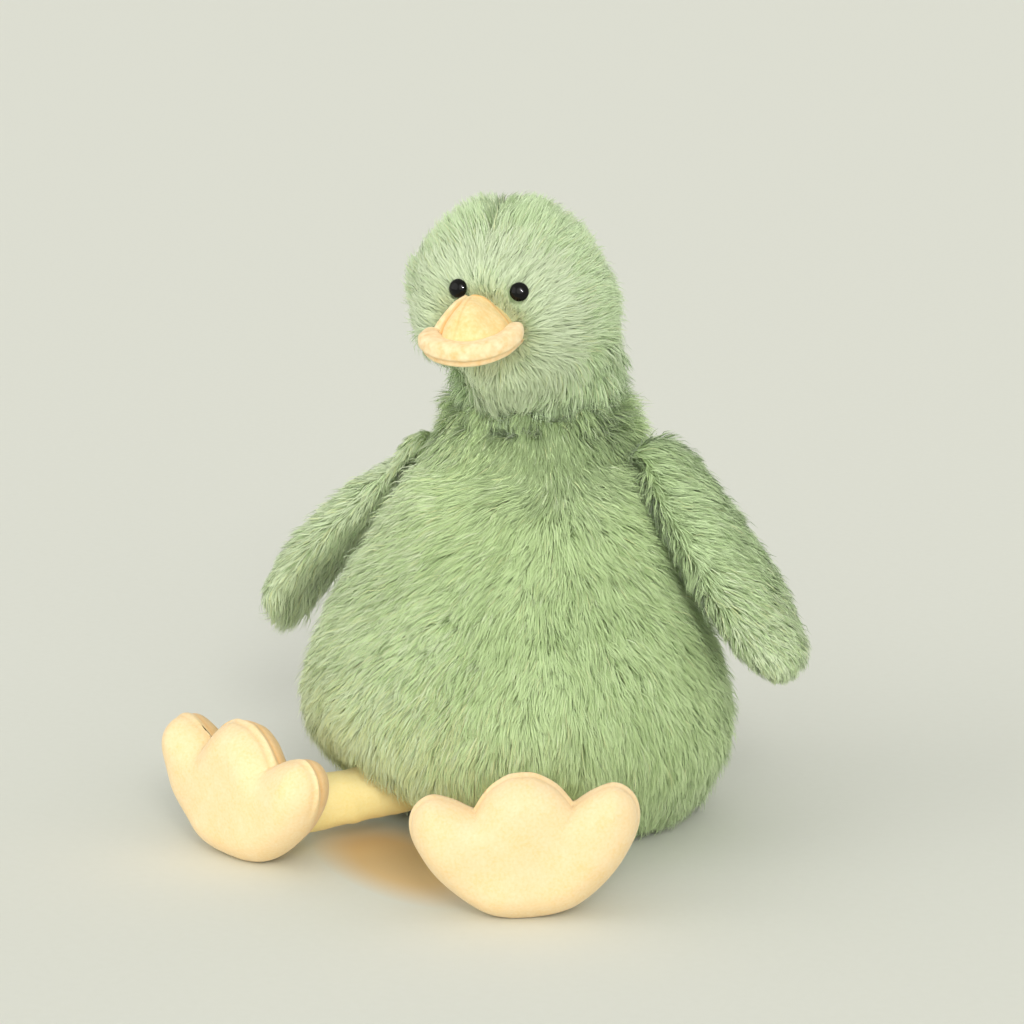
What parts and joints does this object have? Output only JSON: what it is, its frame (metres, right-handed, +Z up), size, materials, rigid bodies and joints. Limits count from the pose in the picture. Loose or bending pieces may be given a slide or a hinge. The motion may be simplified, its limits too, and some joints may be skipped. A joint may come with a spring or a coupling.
{
  "type": "plush duck",
  "caption": "Seated soft-toy duck with a long-pile body, head and wings, a rolled velvet beak, safety eyes and webbed velvet feet on short legs.",
  "frame": {"origin": "centre of the flat base on which the toy sits, at floor level", "axes": "+Z up, the duck looks along -Y and its left side is +X"},
  "size_m": [0.2609, 0.2484, 0.2696],
  "materials": {
    "body_plush": "long-pile plush, sage green",
    "head_plush": "long-pile plush, sage green",
    "velvet": "short-pile velvet, pale yellow",
    "beak_velvet": "short-pile velvet, pale yellow",
    "lip_velvet": "short-pile velvet, cream",
    "filling": "polyester fibre filling",
    "linen": "woven lining bag",
    "eye": "polished black",
    "washer": "moulded white"
  },
  "bodies": {
    "torso": {"torso_front_panel": "body_plush", "torso_back_left_panel": "body_plush", "torso_back_right_panel": "body_plush", "torso_base_panel": "body_plush", "pellet_bag": "linen", "torso_stuffing": "filling", "tail_cover": "body_plush", "tail_stuffing": "filling"},
    "neck": {"neck_stuffing": "filling"},
    "head": {"beak_upper_cover": "beak_velvet", "beak_stuffing": "filling", "beak_under_cover": "lip_velvet", "beak_lip_cover": "lip_velvet", "left_eye": "eye", "left_eye_washer": "washer", "right_eye": "eye", "right_eye_washer": "washer", "head_left_panel": "head_plush", "head_right_panel": "head_plush", "head_back_panel": "head_plush", "head_stuffing": "filling"},
    "left_wing": {"left_wing_outer_panel": "body_plush", "left_wing_inner_panel": "body_plush", "left_wing_stuffing": "filling"},
    "left_hip": {"left_hip_gather": "velvet"},
    "left_leg": {"left_leg_cover": "velvet", "left_leg_stuffing": "filling"},
    "left_foot": {"left_foot_sole_panel": "velvet", "left_foot_upper_panel": "velvet", "left_foot_stuffing": "filling"},
    "right_wing": {"right_wing_outer_panel": "body_plush", "right_wing_inner_panel": "body_plush", "right_wing_stuffing": "filling"},
    "right_hip": {"right_hip_gather": "velvet"},
    "right_leg": {"right_leg_cover": "velvet", "right_leg_stuffing": "filling"},
    "right_foot": {"right_foot_sole_panel": "velvet", "right_foot_upper_panel": "velvet", "right_foot_stuffing": "filling"}
  },
  "joints": [
    {"name": "head_turn", "type": "hinge", "parent": "torso", "child": "neck", "pos_m": [0, -0.002, 0.15], "axis": [0, 0, 1], "range_deg": [-25, 25], "stiffness_Nm_per_rad": 0.8},
    {"name": "head_nod", "type": "hinge", "parent": "neck", "child": "head", "pos_m": [0, -0.002, 0.15], "axis": [0.9629, 0.258, 0.0785], "range_deg": [-10, 10], "stiffness_Nm_per_rad": 1.2},
    {"name": "left_wing_raise", "type": "hinge", "parent": "torso", "child": "left_wing", "pos_m": [0.0485, 0.002, 0.163], "axis": [-0.0478, -0.9971, 0.06], "range_deg": [0, 60], "stiffness_Nm_per_rad": 0.15},
    {"name": "left_leg_splay", "type": "hinge", "parent": "torso", "child": "left_hip", "pos_m": [0.042, -0.082, 0.02], "axis": [0, 0, 1], "range_deg": [-12, 12], "stiffness_Nm_per_rad": 0.3},
    {"name": "left_leg_swing", "type": "hinge", "parent": "left_hip", "child": "left_leg", "pos_m": [0.042, -0.082, 0.02], "axis": [0.9063, 0.4226, 0], "range_deg": [-8, 60], "stiffness_Nm_per_rad": 0.2},
    {"name": "left_foot_flex", "type": "hinge", "parent": "left_leg", "child": "left_foot", "pos_m": [0.05794, -0.11618, 0.01537], "axis": [0.866, 0.5, 0], "range_deg": [-12, 15], "stiffness_Nm_per_rad": 0.2},
    {"name": "right_wing_raise", "type": "hinge", "parent": "torso", "child": "right_wing", "pos_m": [-0.0485, 0.002, 0.156], "axis": [-0.0967, 0.9903, -0.1001], "range_deg": [0, 60], "stiffness_Nm_per_rad": 0.15},
    {"name": "right_leg_splay", "type": "hinge", "parent": "torso", "child": "right_hip", "pos_m": [-0.042, -0.082, 0.02], "axis": [0, 0, 1], "range_deg": [-12, 12], "stiffness_Nm_per_rad": 0.3},
    {"name": "right_leg_swing", "type": "hinge", "parent": "right_hip", "child": "right_leg", "pos_m": [-0.042, -0.082, 0.02], "axis": [0.7071, -0.7071, 0], "range_deg": [-8, 60], "stiffness_Nm_per_rad": 0.2},
    {"name": "right_foot_flex", "type": "hinge", "parent": "right_leg", "child": "right_foot", "pos_m": [-0.06867, -0.10867, 0.01537], "axis": [0.9659, -0.2588, 0], "range_deg": [-12, 15], "stiffness_Nm_per_rad": 0.2}
  ]
}
